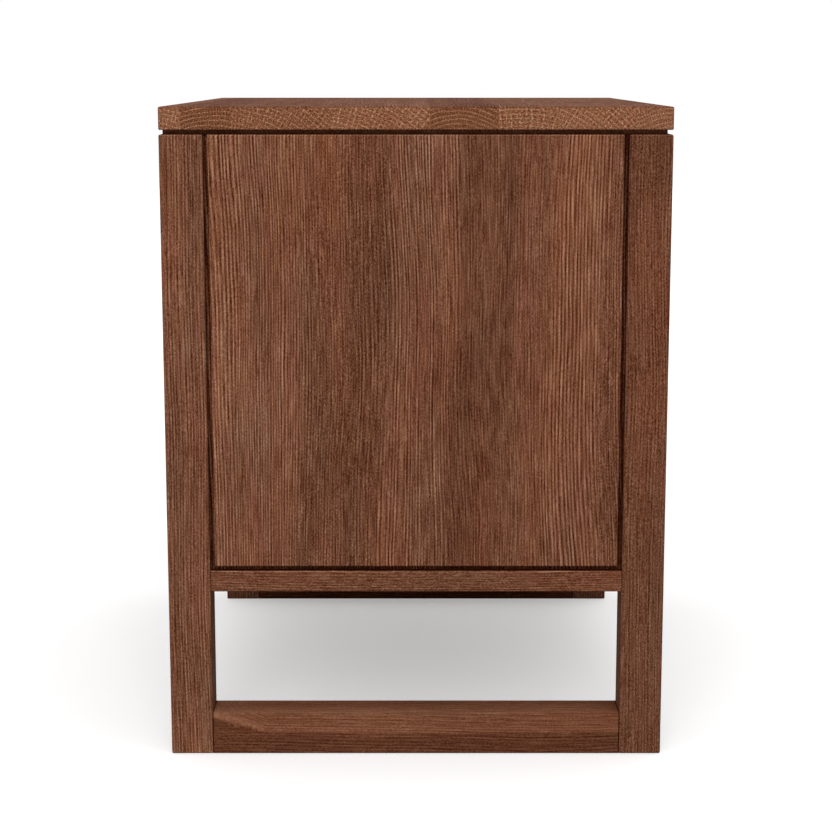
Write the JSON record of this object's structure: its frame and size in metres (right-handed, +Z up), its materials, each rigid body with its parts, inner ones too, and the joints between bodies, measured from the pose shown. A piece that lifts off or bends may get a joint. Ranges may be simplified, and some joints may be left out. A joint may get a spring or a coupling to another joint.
{
  "type": "nightstand",
  "caption": "Solid-wood nightstand with frame-and-panel sides on floor stretchers, a top over a shadow gap, and inset drawers on ball-bearing slides.",
  "frame": {"origin": "centre of the footprint, on the floor", "axes": "+Z up, X across the width from side panel to side panel, -Y towards the person in front, where the drawers open"},
  "size_m": [0.538, 0.42, 0.55],
  "materials": {
    "dark_wood": "oak, reddish brown stain under matt oil, fine straight grain",
    "pale_wood": "pale hardwood under clear matt varnish",
    "sheet_wood": "veneered sheet, stained to match",
    "pale_sheet": "pale plywood under clear matt varnish",
    "slide_steel": "rolled sheet, bright zinc",
    "bearing_steel": "polished balls in bright sheet cages",
    "screw_steel": "zinc plated"
  },
  "bodies": {
    "carcass": {"back_panel": "sheet_wood", "bottom_panel": "sheet_wood", "case_slide_screws": "screw_steel", "front_lower_rail": "dark_wood", "front_top_rail": "dark_wood", "left_floor_stretcher": "dark_wood", "left_front_post": "dark_wood", "left_lower_batten": "pale_wood", "left_lower_rail": "dark_wood", "left_rear_post": "dark_wood", "left_side_panel": "dark_wood", "left_top_cleat": "pale_wood", "left_upper_batten": "pale_wood", "lower_left_slide_outer": "slide_steel", "lower_right_slide_outer": "slide_steel", "middle_rail": "dark_wood", "rear_lower_rail": "dark_wood", "rear_top_rail": "dark_wood", "right_floor_stretcher": "dark_wood", "right_front_post": "dark_wood", "right_lower_batten": "pale_wood", "right_lower_rail": "dark_wood", "right_rear_post": "dark_wood", "right_side_panel": "dark_wood", "right_top_cleat": "pale_wood", "right_upper_batten": "pale_wood", "top_panel": "dark_wood", "top_screws": "screw_steel", "top_spacer": "dark_wood", "upper_left_slide_outer": "slide_steel", "upper_right_slide_outer": "slide_steel"},
    "lower_drawer": {"lower_box_back": "pale_wood", "lower_box_bottom": "pale_sheet", "lower_box_front": "pale_wood", "lower_box_left_side": "pale_wood", "lower_box_right_side": "pale_wood", "lower_drawer_front": "dark_wood", "lower_drawer_slide_screws": "screw_steel", "lower_front_screws": "screw_steel", "lower_left_slide_inner": "slide_steel", "lower_right_slide_inner": "slide_steel"},
    "lower_inner_cages": {"lower_inner_ball_cages": "bearing_steel"},
    "lower_middle_members": {"lower_left_slide_middle": "slide_steel", "lower_right_slide_middle": "slide_steel"},
    "lower_outer_cages": {"lower_outer_ball_cages": "bearing_steel"},
    "upper_drawer": {"upper_box_back": "pale_wood", "upper_box_bottom": "pale_sheet", "upper_box_front": "pale_wood", "upper_box_left_side": "pale_wood", "upper_box_right_side": "pale_wood", "upper_drawer_front": "dark_wood", "upper_drawer_slide_screws": "screw_steel", "upper_front_screws": "screw_steel", "upper_left_slide_inner": "slide_steel", "upper_right_slide_inner": "slide_steel"},
    "upper_inner_cages": {"upper_inner_ball_cages": "bearing_steel"},
    "upper_middle_members": {"upper_left_slide_middle": "slide_steel", "upper_right_slide_middle": "slide_steel"},
    "upper_outer_cages": {"upper_outer_ball_cages": "bearing_steel"}
  },
  "joints": [
    {"name": "upper_drawer_slide", "type": "slide", "parent": "carcass", "child": "upper_drawer", "axis": [0, -1, 0], "range_m": [0, 0.34]},
    {"name": "upper_middle_members_slide", "type": "slide", "parent": "carcass", "child": "upper_middle_members", "axis": [0, -1, 0], "range_m": [0, 0.17]},
    {"name": "upper_outer_cages_slide", "type": "slide", "parent": "carcass", "child": "upper_outer_cages", "axis": [0, -1, 0], "range_m": [0, 0.085]},
    {"name": "upper_inner_cages_slide", "type": "slide", "parent": "carcass", "child": "upper_inner_cages", "axis": [0, -1, 0], "range_m": [0, 0.255]},
    {"name": "lower_drawer_slide", "type": "slide", "parent": "carcass", "child": "lower_drawer", "axis": [0, -1, 0], "range_m": [0, 0.34]},
    {"name": "lower_middle_members_slide", "type": "slide", "parent": "carcass", "child": "lower_middle_members", "axis": [0, -1, 0], "range_m": [0, 0.17]},
    {"name": "lower_outer_cages_slide", "type": "slide", "parent": "carcass", "child": "lower_outer_cages", "axis": [0, -1, 0], "range_m": [0, 0.085]},
    {"name": "lower_inner_cages_slide", "type": "slide", "parent": "carcass", "child": "lower_inner_cages", "axis": [0, -1, 0], "range_m": [0, 0.255]}
  ],
  "couplings": [
    {"joint": "upper_middle_members_slide", "follows": "upper_drawer_slide", "ratio": 0.5},
    {"joint": "upper_outer_cages_slide", "follows": "upper_drawer_slide", "ratio": 0.25},
    {"joint": "upper_inner_cages_slide", "follows": "upper_drawer_slide", "ratio": 0.75},
    {"joint": "lower_middle_members_slide", "follows": "lower_drawer_slide", "ratio": 0.5},
    {"joint": "lower_outer_cages_slide", "follows": "lower_drawer_slide", "ratio": 0.25},
    {"joint": "lower_inner_cages_slide", "follows": "lower_drawer_slide", "ratio": 0.75}
  ]
}
